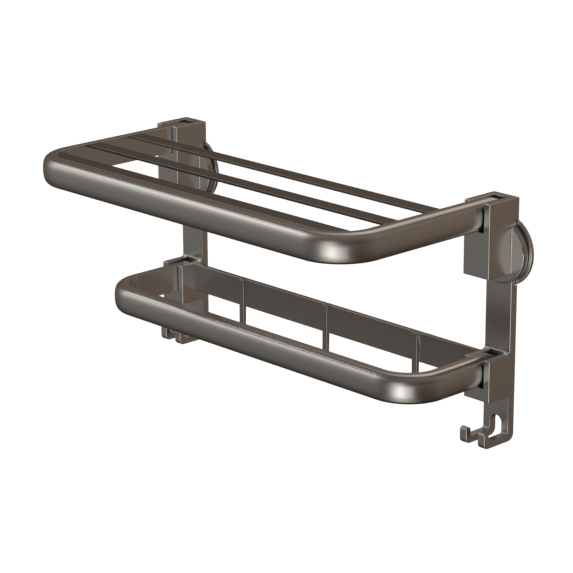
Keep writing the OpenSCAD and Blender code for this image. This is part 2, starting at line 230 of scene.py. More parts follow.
def soft_box(name, azimuth, elevation, distance, size, power):
    """A rectangular light that looks at the rack from this direction."""
    lamp = bpy.data.lights.new(name, "AREA")
    lamp.shape = "RECTANGLE"
    lamp.size, lamp.size_y = size
    lamp.energy = power
    outward = facing(azimuth, elevation)
    box = link(bpy.data.objects.new(name, lamp))
    box.location = RACK_MIDDLE + distance * outward
    box.rotation_mode = "QUATERNION"
    box.rotation_quaternion = outward.to_track_quat("Z", "Y")


soft_box("upper_left_box", -66, 44, distance=1.7, size=(1.3, 0.7), power=3)
soft_box("low_right_box", 44, -20, distance=1.6, size=(0.9, 0.9), power=2)

# %% [markdown]
# ## Finishes
#
# The castings and rails are taken to be aluminium with a satin metal coat: a soft sheen, a
# very fine even grain and slight clouds in the tone. A principled shader with full
# metallic does this. Its grain is a small bump from fine noise, and its roughness wanders
# a little, because a perfectly even sheen looks like plastic. A rail is pushed through a
# die as it is made, so its grain is stretched along the bar. It follows the bar through
# two attributes, `along` and `around`, which the sweep writes on the rail. The slats and
# the hook rail are given darker tones than the rest. This darkening is painted shade: it
# stands for the shade of the towels that hang over them.

# %% Metal finishes
GUNMETAL = (0.40, 0.39, 0.378)
# The slats' tone is painted shade: the gunmetal darkened for the shade of the towels over them.
SLAT_METAL_PAINTED_SHADE = (0.15, 0.138, 0.128)
# The hook rail's tone is painted shade as well: the gunmetal darkened for the towels' shade.
HOOK_METAL_PAINTED_SHADE = (0.27, 0.25, 0.235)
# How large the clouds are, how much they change the tone, how much the sheen wanders, how
# strong the grain is, and how far it is stretched along a drawn bar.
CLOUD_SIZE = mm(45)
CLOUD_TONE = 0.06
SHEEN_WANDER = 0.05
GRAIN_BUMP = 0.07
GRAIN_STRETCH = 0.02


def blank_finish(name):
    """A material with its node tree and principled shader."""
    finish = bpy.data.materials.new(name)
    finish.use_nodes = True
    return finish, finish.node_tree, finish.node_tree.nodes["Principled BSDF"]


def grain_place(tree, drawn):
    """Where the grain is read: object space, or along and around a drawn bar."""
    if not drawn:
        return shader_node(tree, "TexCoord").outputs["Object"]
    along = shader_node(tree, "Attribute", attribute_name="along")
    around = shader_node(tree, "Attribute", attribute_name="around")
    stretched = shader_node(tree, "Math", {0: along.outputs["Fac"], 1: GRAIN_STRETCH},
                            operation="MULTIPLY")
    return shader_node(tree, "CombineXYZ",
                       {"X": stretched.outputs[0], "Y": around.outputs["Fac"]}).outputs[0]


def spread(tree, fac, low, high):
    """A factor from 0 to 1 spread between low and high."""
    return shader_node(tree, "MapRange",
                       {"Value": fac, "To Min": low, "To Max": high}).outputs["Result"]


def two_tones(tree, fac, tone, difference):
    """A colour that goes from a darker to a lighter tone with a factor."""
    shade = shader_node(tree, "Mix", {"Factor": fac}, data_type="RGBA")
    shade.inputs["A"].default_value = (*((1 - difference) * c for c in tone), 1)
    shade.inputs["B"].default_value = (*((1 + difference) * c for c in tone), 1)
    return shade.outputs["Result"]


def satin_metal(name, tone, roughness, grain, depth, drawn=False):
    """Metal with a satin coat. grain is the size of the grain, depth how deep it is."""
    finish, tree, shader = blank_finish(name)
    place = shader_node(tree, "TexCoord").outputs["Object"]
    clouds = shader_node(tree, "TexNoise", {"Vector": place, "Scale": 1 / CLOUD_SIZE,
                                            "Detail": 3, "Roughness": 0.55})
    fine = shader_node(tree, "TexNoise", {"Vector": grain_place(tree, drawn),
                                          "Scale": 1 / grain, "Detail": 4, "Roughness": 0.6})
    tree.links.new(two_tones(tree, clouds.outputs["Fac"], tone, CLOUD_TONE),
                   shader.inputs["Base Color"])
    gloss = shader_node(tree, "Math", {0: fine.outputs["Fac"], 1: clouds.outputs["Fac"]},
                        operation="ADD")
    half = shader_node(tree, "Math", {0: gloss.outputs[0], 1: 0.5}, operation="MULTIPLY")
    tree.links.new(spread(tree, half.outputs[0], roughness - SHEEN_WANDER,
                          roughness + SHEEN_WANDER), shader.inputs["Roughness"])
    bump = shader_node(tree, "Bump", {"Height": fine.outputs["Fac"],
                                      "Strength": GRAIN_BUMP, "Distance": depth})
    tree.links.new(bump.outputs["Normal"], shader.inputs["Normal"])
    shader.inputs["Metallic"].default_value = 1
    return finish


cast_satin = satin_metal("cast_gunmetal", GUNMETAL, 0.28, mm(0.8), mm(0.04))
drawn_satin = satin_metal("drawn_gunmetal", GUNMETAL, 0.26, mm(0.6), mm(0.04), drawn=True)
# The slats' finish carries painted shade in its darker tone.
slat_satin_painted_shade = satin_metal("slat_gunmetal_painted_shade", SLAT_METAL_PAINTED_SHADE, 0.30, mm(0.9), mm(0.05))
# The hook rail's finish carries painted shade in its darker tone.
hook_satin_painted_shade = satin_metal("hook_gunmetal_painted_shade", HOOK_METAL_PAINTED_SHADE, 0.30, mm(0.8), mm(0.04))
print("metal finishes", [m.name for m in (cast_satin, drawn_satin, slat_satin_painted_shade, hook_satin_painted_shade)])

# %% [markdown]
# The grub screws and hinge pins are zinc-plated steel, shinier and colder than the satin
# castings.
# The bushes, plugs and caps are moulded plastic with a faint spark-eroded texture, and the
# pads are foam rubber with open pores. Each gets its own grain, so that a close look
# tells them apart.

# %% Steel, plastic and rubber
MOTTLE = 0.2
MOULD_WANDER = 0.07
PORES_PER_GRAIN = 0.6
PORE_BUMP = 0.3


def moulded(name, tone, roughness, grain, depth):
    """Plastic or rubber, with a texture of this size and depth."""
    finish, tree, shader = blank_finish(name)
    place = shader_node(tree, "TexCoord").outputs["Object"]
    fine = shader_node(tree, "TexNoise", {"Vector": place, "Scale": 1 / grain, "Detail": 3})
    pores = shader_node(tree, "TexVoronoi", {"Vector": place,
                                             "Scale": PORES_PER_GRAIN / grain})
    tree.links.new(two_tones(tree, fine.outputs["Fac"], tone, MOTTLE),
                   shader.inputs["Base Color"])
    tree.links.new(spread(tree, fine.outputs["Fac"], roughness - MOULD_WANDER,
                          roughness + MOULD_WANDER), shader.inputs["Roughness"])
    bump = shader_node(tree, "Bump", {"Height": pores.outputs["Distance"],
                                      "Strength": PORE_BUMP, "Distance": depth})
    tree.links.new(bump.outputs["Normal"], shader.inputs["Normal"])
    return finish


plated = satin_metal("plated_steel", (0.62, 0.61, 0.60), 0.24, mm(0.5), mm(0.02))
nylon = moulded("bush_nylon", (0.10, 0.095, 0.09), 0.45, mm(0.4), mm(0.03))
plug_plastic = moulded("plug_plastic", (0.03, 0.03, 0.03), 0.55, mm(0.5), mm(0.04))
cap_plastic = moulded("cap_plastic", (0.055, 0.05, 0.047), 0.42, mm(0.4), mm(0.03))
pad_rubber = moulded("pad_rubber", (0.025, 0.025, 0.025), 0.85, mm(0.7), mm(0.12))
print("other finishes", [m.name for m in (plated, nylon, plug_plastic, cap_plastic,
                                          pad_rubber)])

# %% [markdown]
# ## Helpers for Geometry Nodes
#
# The rails, slats, pins and bushes follow rules, so Geometry Nodes make them. A few helpers
# keep the trees readable: one starts a tree with named inputs, one adds a node and wires
# it, and one runs a finished tree on an empty object and hands back a plain mesh.

# %% Tree helpers


def start_tree(name, inputs):
    """A new tree with named inputs, which map a name to a socket kind such as Float."""
    tree = bpy.data.node_groups.new(name, "GeometryNodeTree")
    tree.interface.new_socket(name="Mesh", in_out="OUTPUT", socket_type="NodeSocketGeometry")
    for label, kind in inputs.items():
        tree.interface.new_socket(name=label, in_out="INPUT", socket_type="NodeSocket" + kind)
    return tree, tree.nodes.new("NodeGroupInput").outputs


def geo(tree, kind, inputs=None, **settings):
    """A new node of a Geometry Nodes tree; its maths nodes are shared with the shaders."""
    family = "GeometryNode" if hasattr(bpy.types, "GeometryNode" + kind) else "ShaderNode"
    return set_up(tree, tree.nodes.new(family + kind), inputs, settings)


def point_at(tree, x, y, z=0.0):
    """A vector from three numbers or sockets."""
    return geo(tree, "CombineXYZ", {"X": x, "Y": y, "Z": z}).outputs[0]


def minus(tree, value):
    """The opposite of a number, which puts its place on the left side."""
    return geo(tree, "Math", {0: value, 1: -1.0}, operation="MULTIPLY").outputs[0]


def close_tree(tree, last, metal):
    """Realize the instances, set the material and wire the output."""
    real = geo(tree, "RealizeInstances", {"Geometry": last})
    painted = geo(tree, "SetMaterial", {"Geometry": real.outputs[0], "Material": metal})
    tree.links.new(painted.outputs[0], tree.nodes.new("NodeGroupOutput").inputs[0])


def settled(thing):
    """The mesh of an object once its modifiers have run."""
    graph = bpy.context.evaluated_depsgraph_get()
    return bpy.data.meshes.new_from_object(thing.evaluated_get(graph),
                                           preserve_all_data_layers=True, depsgraph=graph)


def grow(tree, name, values):
    """The plain mesh that a tree makes from these inputs."""
    host = link(bpy.data.objects.new(name + "_host", bpy.data.meshes.new(name + "_host")))
    modifier = host.modifiers.new("grow", "NODES")
    modifier.node_group = tree
    for item in tree.interface.items_tree:
        if item.in_out == "INPUT":
            modifier[item.identifier] = values[item.name]
    mesh = settled(host)
    mesh.name = name
    bpy.data.objects.remove(host)
    return mesh


print("helpers for trees are ready")

# %% [markdown]
# ## Rails
#
# Each rail is one hollow bar bent into a U. Its section has a flat part on the inside and a
# full belly on the outside, and it runs into the sockets whole. The belly isn't a half
# round: it is fuller, like a rounded box, which is why a superellipse draws it. A narrow
# shoulder beside the flat top catches a line of light. The section's sharp corners are
# rounded too, because such an edge catches a thin bright line.

# %% Section of the rails
RAIL_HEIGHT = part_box("bar_rail")[1].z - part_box("bar_rail")[0].z
RAIL_FLAT = mm(6.5)
RAIL_WIDTH = mm(14.5)
RAIL_WALL = mm(1.6)
ARRIS = mm(0.6)
CREASE = mm(4)
BELLY = RAIL_WIDTH - RAIL_FLAT
BELLY_STEPS = 16
FULLNESS = 2.7
SHOULDER_DROP, SHOULDER_REACH = mm(0.6), mm(2.2)


def round_corners(corners, steps=4):
    """Closed outline with each corner (x, y, radius) rounded."""
    outline = []
    for i, (x, y, radius) in enumerate(corners):
        here = Vector((x, y))
        back = Vector(corners[i - 1][:2]) - here
        ahead = Vector(corners[(i + 1) % len(corners)][:2]) - here
        if radius == 0:
            outline.append(here)
            continue
        half = back.angle(ahead) / 2
        reach = radius / math.tan(half)
        start, end = here + back.normalized() * reach, here + ahead.normalized() * reach
        inward = (back.normalized() + ahead.normalized()).normalized()
        middle = here + inward * (radius / math.sin(half))
        for k in range(steps + 1):
            ray = (start - middle).lerp(end - middle, k / steps)
            outline.append(middle + ray.normalized() * radius)
    return outline


def belly_points(steps):
    """Points on the full belly from its top to its bottom, without its two ends.

    Each half is a quarter of a superellipse. The upper half falls off a little more
    quickly at first, which leaves a shoulder line beside the flat top.
    """
    half = RAIL_HEIGHT / 2
    points = []
    for k in range(1, 2 * steps):
        a = math.pi / 2 * (1 - k / steps)
        out = BELLY * math.cos(a) ** (2 / FULLNESS)
        rise = math.copysign(half * abs(math.sin(a)) ** (2 / FULLNESS), a)
        if a > 0:
            rise -= (SHOULDER_DROP * (1 - math.exp(-out / SHOULDER_REACH))
                     * (1 - (out / BELLY) ** 4))
        points.append(Vector((RAIL_FLAT + out, half - rise)))
    return points


# In the section, x runs outwards from the inner face and y runs down from the top.
section_corners = [(0, 0, ARRIS), (RAIL_FLAT, 0, CREASE)]
section_corners += [(p.x, p.y, 0) for p in belly_points(BELLY_STEPS)]
section_corners += [(RAIL_FLAT, RAIL_HEIGHT, CREASE), (0, RAIL_HEIGHT, ARRIS)]
rail_section = round_corners(section_corners)
print("rail section has", len(rail_section), "points, height", round(RAIL_HEIGHT * 1000, 2))


# %% [markdown]
# A bar of constant section on a bent path is a sweep. The path is four points drawn from
# the rail's sizes, with its corners filleted. It is resampled at an even step, because
# only then do the quads stay regular from the straight parts into the bends. The distance
# along the path and round the section is stored on the way, for the drawn grain.

# %% The section as a curve
def outline_curve(name, outline):
    """A closed poly curve in its own X-Y plane."""
    line = bpy.data.curves.new(name, "CURVE")
    line.dimensions = "3D"
    spline = line.splines.new("POLY")
    spline.points.add(len(outline) - 1)
    for point, place in zip(spline.points, outline):
        point.co = (place.x, place.y, 0, 1)
    spline.use_cyclic_u = True
    return bpy.data.objects.new(name, line)


section_curve = link(outline_curve("rail_section", rail_section))
print("section curve", section_curve.name)

# %% The sweep
PATH_ARC_POINTS = 48
sweep_tree, sweep_in = start_tree("rail_sweep", {
    "Half Width": "Float", "Front": "Float", "Back": "Float", "Top": "Float",
    "Corner Radius": "Float", "Step": "Float", "Section": "Object", "Metal": "Material"})
left_x = minus(sweep_tree, sweep_in["Half Width"])
u_points = [point_at(sweep_tree, left_x, sweep_in["Back"], sweep_in["Top"]),
            point_at(sweep_tree, left_x, sweep_in["Front"], sweep_in["Top"]),
            point_at(sweep_tree, sweep_in["Half Width"], sweep_in["Front"], sweep_in["Top"]),
            point_at(sweep_tree, sweep_in["Half Width"], sweep_in["Back"], sweep_in["Top"])]
pick = geo(sweep_tree, "IndexSwitch", data_type="VECTOR")
pick.index_switch_items.new()
pick.index_switch_items.new()
sweep_tree.links.new(geo(sweep_tree, "InputIndex").outputs[0], pick.inputs["Index"])
for corner, place in enumerate(u_points):
    sweep_tree.links.new(place, pick.inputs[str(corner)])
line = geo(sweep_tree, "MeshLine", {"Count": 4})
bent = geo(sweep_tree, "SetPosition", {"Geometry": line.outputs[0],
                                       "Position": pick.outputs[0]})
path = geo(sweep_tree, "MeshToCurve", {"Mesh": bent.outputs[0]})
round_path = geo(sweep_tree, "FilletCurve",
                 {"Curve": path.outputs[0], "Count": PATH_ARC_POINTS,
                  "Radius": sweep_in["Corner Radius"]}, mode="POLY")
even = geo(sweep_tree, "ResampleCurve",
           {"Curve": round_path.outputs[0], "Length": sweep_in["Step"]}, mode="LENGTH")
level = geo(sweep_tree, "SetCurveNormal", {"Curve": even.outputs[0]}, mode="Z_UP")
measured = geo(sweep_tree, "SplineParameter").outputs["Length"]
marked = geo(sweep_tree, "StoreNamedAttribute",
             {"Geometry": level.outputs[0], "Name": "along", "Value": measured}, domain="POINT")
shape = geo(sweep_tree, "ObjectInfo", {"Object": sweep_in["Section"]})
shape_marked = geo(sweep_tree, "StoreNamedAttribute",
                   {"Geometry": shape.outputs["Geometry"], "Name": "around", "Value": measured},
                   domain="POINT")
swept = geo(sweep_tree, "CurveToMesh",
            {"Curve": marked.outputs[0], "Profile Curve": shape_marked.outputs[0],
             "Fill Caps": True})
close_tree(sweep_tree, swept.outputs[0], sweep_in["Metal"])
print("sweep tree has", len(sweep_tree.nodes), "nodes")

# %% [markdown]
# ## Mesh helpers
#
# A finished piece is one closed skin. Flat faces stay flat and small roundings carry the
# shading if each corner's normal leans to the larger face, which the Weighted Normal
# modifier does. Parts are cut with the exact Boolean solver, the way a maker mills an end
# or drills a hole.

# %% Mesh helpers
SMOOTH_BELOW = math.radians(38)


def mesh_from(skin, name):
    """Ends the editing of a bmesh and gives its mesh."""
    mesh = bpy.data.meshes.new(name)
    skin.to_mesh(mesh)
    skin.free()
    return mesh


def combine(mesh, tool, operation):
    """mesh with tool cut from it (DIFFERENCE), or what both share (INTERSECT)."""
    body = link(bpy.data.objects.new("body", mesh))
    other = link(bpy.data.objects.new("tool", tool))
    step = body.modifiers.new("combine", "BOOLEAN")
    step.operation, step.solver, step.object = operation, "EXACT", other
    result = settled(body)
    bpy.data.objects.remove(body)
    bpy.data.objects.remove(other)
    return result


def finished(name, mesh, body, finish, stands_for):
    """Shades a mesh, gives it its finish and puts it on its body in place of CAD nodes."""
    mesh.materials.clear()
    mesh.materials.append(finish)
    for face in mesh.polygons:
        face.material_index = 0
        face.use_smooth = True
    mesh.set_sharp_from_angle(angle=SMOOTH_BELOW)
    draft = link(bpy.data.objects.new(name + "_draft", mesh))
    lean = draft.modifiers.new("lean", "WEIGHTED_NORMAL")
    lean.keep_sharp = True
    lean.weight = 100
    piece = link(bpy.data.objects.new(name, settled(draft)))
    piece.data.name = name
    bpy.data.objects.remove(draft)
    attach(piece, body)
    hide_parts(*stands_for)
    piece.data.calc_loop_triangles()
    print(name, "has", len(piece.data.loop_triangles), "triangles")
    return piece


# %% Plates, rods and turned parts
def plate(outline, x0, x1):
    """A plate of this Y-Z outline between two X positions."""
    skin = bmesh.new()
    near = [skin.verts.new((x0, p[0], p[1])) for p in outline]
    far = [skin.verts.new((x1, p[0], p[1])) for p in outline]
    skin.faces.new(near)
    skin.faces.new(far[::-1])
    for i in range(len(outline)):
        j = (i + 1) % len(outline)
        skin.faces.new((near[j], near[i], far[i], far[j]))
    bmesh.ops.recalc_face_normals(skin, faces=skin.faces)
    return skin


def along_y(outline, y0, y1):
    """A plate of this (x, z) outline between two Y positions."""
    skin = plate(outline, y0, y1)
    # The plate was drawn along X, so X and Y change places.
    for corner in skin.verts:
        corner.co = (corner.co.y, corner.co.x, corner.co.z)
    bmesh.ops.recalc_face_normals(skin, faces=skin.faces)
    return skin


def rod(radius, x0, x1, y, z, sides=96):
    """A rod on an X axis."""
    ring = [(y + radius * math.cos(2 * math.pi * k / sides),
             z + radius * math.sin(2 * math.pi * k / sides)) for k in range(sides)]
    return plate(ring, x0, x1)


def turned(outline, sides=144):
    """A turned part: a closed outline of (radius, y) led round the Y axis."""
    skin = bmesh.new()
    rings = []
    for k in range(sides):
        a = 2 * math.pi * k / sides
        rings.append([skin.verts.new((p[0] * math.cos(a), p[1], p[0] * math.sin(a)))
                      for p in outline])
    for k in range(sides):
        here, there = rings[k], rings[(k + 1) % sides]
        for i in range(len(outline)):
            j = (i + 1) % len(outline)
            skin.faces.new((here[i], here[j], there[j], there[i]))
    bmesh.ops.recalc_face_normals(skin, faces=skin.faces)
    return skin


print("helpers for meshes are ready")

# %% [markdown]
# ## Shelf rail and towel bar
#
# The sweep gives the whole U. Its two ends are rounded about the hinge axis, so that they
# can turn in their slots, and both chambers of the section are left open there for plugs.
# A maker would mill the ends and drill the pin's hole afterwards, and so do the Booleans.

# %% Hinge places
HINGE_Y = mm(-20)
HINGE_DROP = mm(11)
PIN_HOLE = mm(3.04)
HAIR = mm(0.02)
SHELF_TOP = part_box("shelf_rail")[1].z
BAR_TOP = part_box("bar_rail")[1].z
RAIL_INNER_X = mm(197.5)
RAIL_END = HINGE_Y + HINGE_DROP
ALL_ACROSS = mm(260)
OVERRUN = mm(1)
TOP_STEPS, LOW_STEPS, CHAMBER_STEPS = 24, 16, 12
FLAT_CHAMBER, BELLY_CHAMBER = mm(47), mm(22)
print("hinge axes at heights", round(SHELF_TOP - HINGE_DROP, 4), round(BAR_TOP - HINGE_DROP, 4))

# %% Tools that shape a rail's ends


def rounded_end(top):
    """Side outline (y, z) of all that stays when the ends are rounded."""
    axis_z = top - HINGE_DROP
    low_radius = RAIL_HEIGHT - HINGE_DROP
    clip = math.acos(HINGE_DROP / low_radius)
    points = [(-ALL_ACROSS, top + OVERRUN), (HINGE_Y, top + OVERRUN)]
    for k in range(TOP_STEPS + 1):
        a = math.pi / 2 * (1 - k / TOP_STEPS)
        points.append((HINGE_Y + (HINGE_DROP - HAIR) * math.cos(a),
                       axis_z + (HINGE_DROP - HAIR) * math.sin(a)))
    for k in range(LOW_STEPS + 1):
        a = -clip - (math.pi / 2 - clip) * k / LOW_STEPS
        points.append((HINGE_Y + (low_radius - HAIR) * math.cos(a),
                       axis_z + (low_radius - HAIR) * math.sin(a)))
    return points + [(HINGE_Y, axis_z - low_radius - OVERRUN),
                     (-ALL_ACROSS, axis_z - low_radius - OVERRUN)]


def chamber(side, top):
    """The two open chambers of one end, as one cutting tool."""
    x0, x1 = RAIL_INNER_X + RAIL_WALL, RAIL_INNER_X + RAIL_FLAT - RAIL_WALL
    high, low = top - RAIL_WALL, top - RAIL_HEIGHT + RAIL_WALL
    flat = [(side * x0, high), (side * x1, high), (side * x1, low), (side * x0, low)]
    inner, face = BELLY - RAIL_WALL, RAIL_INNER_X + RAIL_FLAT
    upper, lower = top - BELLY, top - RAIL_HEIGHT + BELLY
    quarter = [math.pi / 2 * k / CHAMBER_STEPS for k in range(CHAMBER_STEPS + 1)]
    belly = [(side * (face + inner * math.sin(a)), upper + inner * math.cos(a))
             for a in quarter]
    belly += [(side * (face + inner * math.cos(a)), lower - inner * math.sin(a))
              for a in quarter]
    tool = along_y(flat, RAIL_END - FLAT_CHAMBER, OVERRUN)
    tool.from_mesh(mesh_from(along_y(belly, RAIL_END - BELLY_CHAMBER, OVERRUN), "belly"))
    return mesh_from(tool, "chamber")


# %% [markdown]
# Each rail is grown from its own box, cut to the rounded ends, opened and drilled.

# %% Make both rails
INNER_CORNER = {"shelf_rail": mm(33.5), "bar_rail": mm(29.5)}
SWEEP_STEP = mm(2)


def make_rail(name, node, body):
    """One U-shaped rail with its rounded ends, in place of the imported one."""
    low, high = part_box(node)
    bar = grow(sweep_tree, node, {
        "Half Width": RAIL_INNER_X, "Front": low.y + RAIL_WIDTH, "Back": RAIL_END + OVERRUN,
        "Top": high.z, "Corner Radius": INNER_CORNER[node], "Step": SWEEP_STEP,
        "Section": section_curve, "Metal": drawn_satin})
    ends = mesh_from(plate(rounded_end(high.z), -ALL_ACROSS, ALL_ACROSS), "ends")
    bar = combine(bar, ends, "INTERSECT")
    for side in (-1, 1):
        bar = combine(bar, chamber(side, high.z), "DIFFERENCE")
        x0, x1 = sorted((side * (RAIL_INNER_X - OVERRUN),
                         side * (RAIL_INNER_X + RAIL_WALL + OVERRUN)))
        bore = rod(PIN_HOLE, x0, x1, HINGE_Y, high.z - HINGE_DROP)
        bar = combine(bar, mesh_from(bore, "bore"), "DIFFERENCE")
    finished(name, bar, body, drawn_satin, (node,))


make_rail("shelf_loop", "shelf_rail", "shelf")
make_rail("bar_loop", "bar_rail", "towel_bar")
bpy.data.objects.remove(section_curve)

# %% [markdown]
# ## Slats
#
# Three flat boards fill the shelf. They are the same board at an even pitch, so one
# Geometry Nodes tree makes them: a rounded outline is led along the length of a slat, set
# on three points, and trimmed by the plan of the shelf's inside, which cuts the ends of
# the front slat along the bent corners.

# %% Inside of the shelf, which trims the slats
slat_low, slat_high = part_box("shelf_slat_front")
SLAT_TOP = slat_high.z
SLAT_THICK = mm(2.5)
SLAT_WIDTH = mm(16)
SLAT_EDGE = mm(0.5)
SLAT_COUNT = 3
SLAT_PITCH = (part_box("shelf_slat_rear")[0].y - slat_low.y) / (SLAT_COUNT - 1)
HALF_BLANK = mm(230)
LET_IN = mm(0.2)
TRIM_BELOW, TRIM_HEIGHT = mm(8), mm(12)


def inside_plan(corner_radius, grow_by, steps=48):
    """Plan outline of the shelf's inside, moved outwards a little."""
    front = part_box("shelf_rail")[0].y + RAIL_WIDTH
    x, y = RAIL_INNER_X + grow_by, front - grow_by
    return round_corners([(-x, 0, 0), (-x, y, corner_radius + grow_by),
                          (x, y, corner_radius + grow_by), (x, 0, 0)], steps)


trim = bmesh.new()
floor_ring = [trim.verts.new((p.x, p.y, SLAT_TOP - TRIM_BELOW))
              for p in inside_plan(INNER_CORNER["shelf_rail"], LET_IN)]
trim_face = trim.faces.new(floor_ring)
raised = bmesh.ops.extrude_face_region(trim, geom=[trim_face])["geom"]
bmesh.ops.translate(trim, vec=(0, 0, TRIM_HEIGHT),
                    verts=[v for v in raised if isinstance(v, bmesh.types.BMVert)])
bmesh.ops.recalc_face_normals(trim, faces=trim.faces)
slat_trim = link(bpy.data.objects.new("slat_trim", mesh_from(trim, "slat_trim")))
print("slat pitch", round(SLAT_PITCH * 1000, 2), "mm")

# %% The slats' tree
slat_tree, slat_in = start_tree("slat_boards", {
    "Count": "Int", "Pitch": "Float", "First": "Vector", "Half Length": "Float",
    "Width": "Float", "Thickness": "Float", "Edge": "Float", "Inside": "Object",
    "Metal": "Material"})
step_y = point_at(slat_tree, 0.0, slat_in["Pitch"])
places = geo(slat_tree, "MeshLine", {"Count": slat_in["Count"], "Offset": step_y,
                                     "Start Location": slat_in["First"]})
board_from = point_at(slat_tree, minus(slat_tree, slat_in["Half Length"]), 0.0)
board_to = point_at(slat_tree, slat_in["Half Length"], 0.0)
board_path = geo(slat_tree, "CurvePrimitiveLine", {"Start": board_from, "End": board_to})
board_shape = geo(slat_tree, "CurvePrimitiveQuadrilateral",
                  {"Width": slat_in["Width"], "Height": slat_in["Thickness"]})
board_soft = geo(slat_tree, "FilletCurve", {"Curve": board_shape.outputs[0], "Count": 4,
                                            "Radius": slat_in["Edge"]}, mode="POLY")
board = geo(slat_tree, "CurveToMesh", {"Curve": board_path.outputs[0],
                                       "Profile Curve": board_soft.outputs[0],
                                       "Fill Caps": True})
boards = geo(slat_tree, "InstanceOnPoints", {"Points": places.outputs[0],
                                             "Instance": board.outputs[0]})
boards_real = geo(slat_tree, "RealizeInstances", {"Geometry": boards.outputs[0]})
inside = geo(slat_tree, "ObjectInfo", {"Object": slat_in["Inside"]})
trimmed = geo(slat_tree, "MeshBoolean",
              {"Mesh 2": [boards_real.outputs[0], inside.outputs["Geometry"]]},
              operation="INTERSECT", solver="EXACT")
close_tree(slat_tree, trimmed.outputs[0], slat_in["Metal"])
print("slat tree has", len(slat_tree.nodes), "nodes")

# %% Make the slats
# The slats get the darkened finish, which paints in the towels' shade.
slat_boards = grow(slat_tree, "shelf_slats", {
    "Count": SLAT_COUNT, "Pitch": SLAT_PITCH,
    "First": (0, slat_low.y + SLAT_WIDTH / 2, SLAT_TOP - SLAT_THICK / 2),
    "Half Length": HALF_BLANK, "Width": SLAT_WIDTH, "Thickness": SLAT_THICK,
    "Edge": SLAT_EDGE, "Inside": slat_trim, "Metal": slat_satin_painted_shade})
bpy.data.objects.remove(slat_trim)
finished("shelf_slats", slat_boards, "shelf", slat_satin_painted_shade,
         ("shelf_slat_front", "shelf_slat_middle", "shelf_slat_rear"))

# %% [markdown]
# ## Castings
#
# Each bracket is one casting: an upper socket for the shelf, an upright, a lower socket for
# the towel bar and a fork of two prongs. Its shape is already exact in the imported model.
# What a casting adds is softened edges, and these show most, because each one catches a
# thin bright line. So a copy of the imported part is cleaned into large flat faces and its
# outward edges are rounded. The edges of hidden pockets are left alone.

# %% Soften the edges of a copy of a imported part
SHARP_FROM = math.radians(50)
FLAT_WITHIN = math.radians(0.5)
WELD_WITHIN = mm(0.001)
EDGE_SEGMENTS = 3


def cleaned_copy(node):
    """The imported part's mesh, welded and with its flat faces joined."""
    skin = bmesh.new()
    skin.from_mesh(nodes[node].data)
    bmesh.ops.remove_doubles(skin, verts=skin.verts, dist=WELD_WITHIN)
    bmesh.ops.dissolve_limit(skin, angle_limit=FLAT_WITHIN, verts=skin.verts,
                             edges=skin.edges)
    return skin


def soften(skin, width, hidden):
    """Rounds the outward edges of a part, apart from the hidden ones."""
    outward = [e for e in skin.edges
               if e.is_manifold and e.is_convex and e.calc_face_angle() > SHARP_FROM
               and not hidden((e.verts[0].co + e.verts[1].co) / 2)]
    bmesh.ops.bevel(skin, geom=outward, offset=width, segments=EDGE_SEGMENTS, profile=0.5,
                    affect="EDGES", clamp_overlap=False, miter_outer="SHARP")
    return len(outward)


def fill_corner(skin, radius, in_corner):
    """Fills the inward corners for which in_corner(edge) holds with a small fillet."""
    inward = [e for e in skin.edges if e.is_manifold and not e.is_convex and in_corner(e)]
    bmesh.ops.bevel(skin, geom=inward, offset=radius, segments=EDGE_SEGMENTS, profile=0.5,
                    affect="EDGES", clamp_overlap=False)
    return len(inward)


print("edges over", round(math.degrees(SHARP_FROM)), "degrees are softened")

# %% [markdown]
# The pockets that nobody sees are the seat behind the boss, the hollow of the upper socket,
# the bores for the bushes and the slots that take the hook rail. Their places are given
# from the middle of the bracket, with the rack's middle on the negative side.

# %% Brackets
CAST_EDGE = mm(0.9)
BOSS_FILLET = mm(0.9)
SPAN_HALF = RAIL_INNER_X + mm(7.5)
BRACKET_HALF = mm(15)
BOSS_FACE, BOSS_BACK = -mm(10), -mm(8.8)
DISC_SEAT = mm(35)
HOLLOW_HALF, HOLLOW_FRONT = BRACKET_HALF - mm(1), -mm(38)
HOLLOW_LOW, HOLLOW_HIGH = -mm(17), mm(23)
SLOT_SIDE = -mm(7.5)
BUSH_POCKET = mm(4.7)
HOOK_POCKET_X = -mm(11)
HOOK_POCKET_BACK, HOOK_POCKET_FRONT = -mm(13), -mm(19)
HOOK_POCKET_LOW, HOOK_POCKET_HIGH = -mm(121), -mm(105)


def hidden_in_bracket(side):
    """Tells whether a point lies in a pocket that nobody sees."""
    def hidden(point):
        x = side * point.x - SPAN_HALF
        behind_boss = math.hypot(x, point.z) < DISC_SEAT and point.y > BOSS_BACK
        in_hollow = (abs(x) < HOLLOW_HALF and HOLLOW_LOW < point.z < HOLLOW_HIGH
                     and point.y > HOLLOW_FRONT)
        from_hinge = min(math.hypot(point.y - HINGE_Y, point.z - top + HINGE_DROP)
                         for top in (SHELF_TOP, BAR_TOP))
        bush_pocket = x < SLOT_SIDE and from_hinge < BUSH_POCKET
        hook_pocket = (x < HOOK_POCKET_X and HOOK_POCKET_FRONT < point.y < HOOK_POCKET_BACK
                       and HOOK_POCKET_LOW < point.z < HOOK_POCKET_HIGH)
        return behind_boss or in_hollow or bush_pocket or hook_pocket
    return hidden


